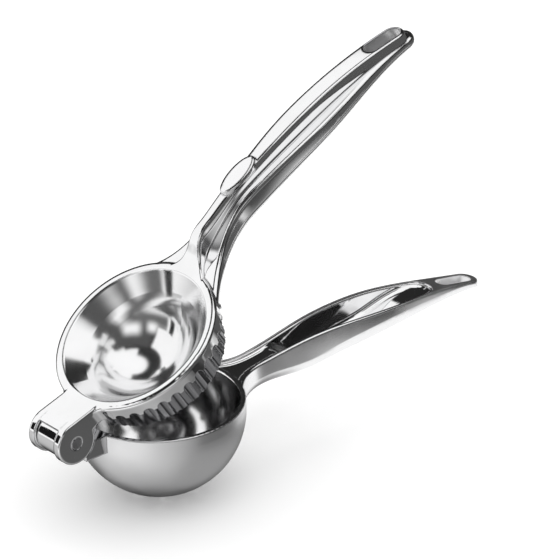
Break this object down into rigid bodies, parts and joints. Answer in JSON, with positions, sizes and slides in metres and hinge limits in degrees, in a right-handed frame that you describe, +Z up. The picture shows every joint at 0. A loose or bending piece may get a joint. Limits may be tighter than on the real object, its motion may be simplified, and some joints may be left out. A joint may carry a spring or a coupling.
{
  "type": "lemon squeezer",
  "caption": "Hand-held lever lemon squeezer in polished metal: a drained bowl and a fluted press dish on two leaf-shaped handles that turn on one pin.",
  "frame": {"origin": "middle of the small flat under the bowl", "axes": "+X from the bowl towards the handle tips, +Y along the hinge pin, +Z up"},
  "size_m": [0.2204, 0.069, 0.1551],
  "materials": {
    "arm_metal": "mirror polish on the tops and insides, satin on the outsides",
    "pin_steel": "fine ground"
  },
  "bodies": {
    "lower": {"lower_arm": "arm_metal"},
    "upper": {"upper_arm": "arm_metal", "hinge_pin": "pin_steel"}
  },
  "joints": [
    {"name": "hinge", "type": "hinge", "parent": "lower", "child": "upper", "pos_m": [-0.0475, 0, 0.03977], "axis": [0, -1, 0], "range_deg": [-32, 87]}
  ]
}
